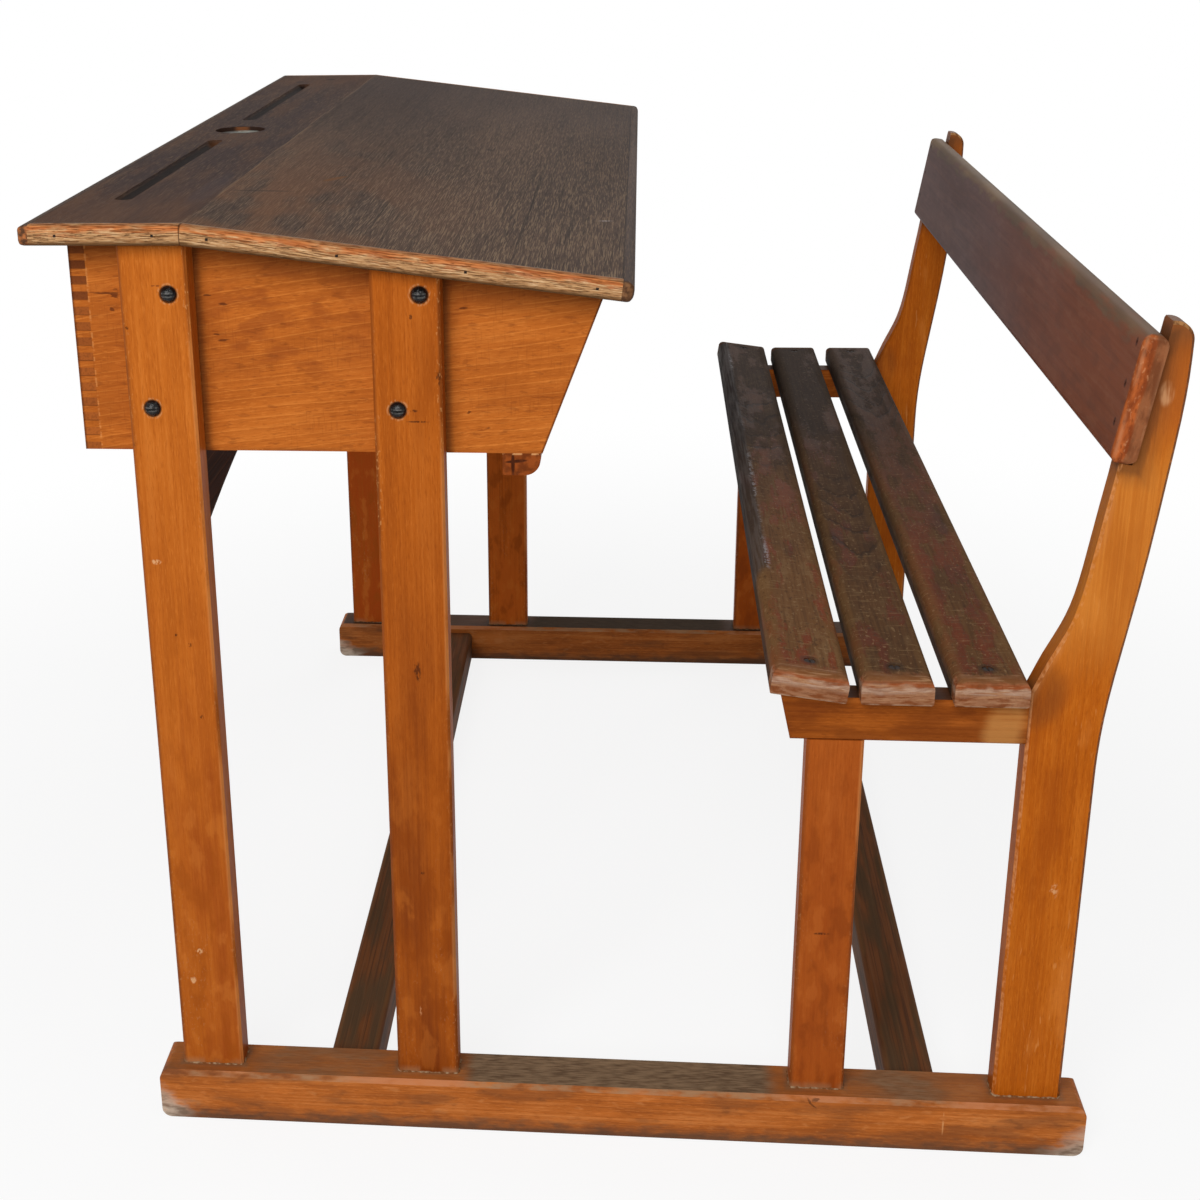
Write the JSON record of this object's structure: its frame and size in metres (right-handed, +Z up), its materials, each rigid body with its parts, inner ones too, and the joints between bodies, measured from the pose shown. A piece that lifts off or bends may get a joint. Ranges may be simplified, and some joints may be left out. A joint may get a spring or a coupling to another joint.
{
  "type": "double school desk with attached bench",
  "caption": "Wooden double school desk: sloping top with pen ledge and inkwell over an open book box, joined by floor runners to a slatted bench with a backrest.",
  "frame": {"origin": "on the floor, at the middle of the outer box", "axes": "+X along the desk to the sitter's left, +Y from the desk to the bench, +Z up"},
  "size_m": [0.99, 0.814, 0.75],
  "materials": {
    "honey_frame": "honey varnish, worn at the arrises",
    "box_wood": "honey varnish",
    "stained_top": "dark grey-brown stain, satin",
    "worn_lipping": "worn varnish, bare in places",
    "seat_wood": "dark varnish worn by use",
    "backrest_wood": "reddish dark varnish, polished by use",
    "dark_stretcher": "dark, foot-worn",
    "black_bolt": "black, satin",
    "dull_steel": "dull, tarnished",
    "inkwell_glaze": "white glaze, ink-stained"
  },
  "bodies": {
    "desk": {"back_post_left": "honey_frame", "back_post_right": "honey_frame", "backrest_board": "backrest_wood", "backrest_nails": "dull_steel", "bench_front_leg_left": "honey_frame", "bench_front_leg_right": "honey_frame", "bench_stretcher": "dark_stretcher", "board_end_lipping_left": "worn_lipping", "board_end_lipping_right": "worn_lipping", "board_front_lipping": "worn_lipping", "bolt_nuts_left": "dull_steel", "bolt_nuts_right": "dull_steel", "bolt_washers_left": "dull_steel", "bolt_washers_right": "dull_steel", "box_back": "box_wood", "box_bottom": "box_wood", "box_front_rail": "box_wood", "box_side_left": "box_wood", "box_side_right": "box_wood", "desk_front_leg_left": "honey_frame", "desk_front_leg_right": "honey_frame", "desk_rear_leg_left": "honey_frame", "desk_rear_leg_right": "honey_frame", "desk_stretcher": "dark_stretcher", "frame_bolt_1_left": "black_bolt", "frame_bolt_1_right": "black_bolt", "frame_bolt_2_left": "black_bolt", "frame_bolt_2_right": "black_bolt", "frame_bolt_3_left": "black_bolt", "frame_bolt_3_right": "black_bolt", "frame_bolt_4_left": "black_bolt", "frame_bolt_4_right": "black_bolt", "ledge_end_lipping_left": "worn_lipping", "ledge_end_lipping_right": "worn_lipping", "ledge_rear_lipping": "worn_lipping", "lipping_brads": "dull_steel", "pen_ledge": "stained_top", "rear_apron": "dark_stretcher", "runner_left": "honey_frame", "runner_right": "honey_frame", "seat_rail_left": "honey_frame", "seat_rail_right": "honey_frame", "seat_slat_front": "seat_wood", "seat_slat_middle": "seat_wood", "seat_slat_rear": "seat_wood", "slat_screw_front_left": "dull_steel", "slat_screw_front_right": "dull_steel", "slat_screw_middle_left": "dull_steel", "slat_screw_middle_right": "dull_steel", "slat_screw_rear_left": "dull_steel", "slat_screw_rear_right": "dull_steel", "top_cleat_front_left": "box_wood", "top_cleat_front_right": "box_wood", "top_cleat_rear_left": "box_wood", "top_cleat_rear_right": "box_wood", "writing_board": "stained_top"},
    "inkwell": {"inkwell": "inkwell_glaze"}
  },
  "joints": [
    {"name": "inkwell_lift", "type": "slide", "parent": "desk", "child": "inkwell", "axis": [0, 0, 1], "range_m": [0, 0.06]}
  ]
}
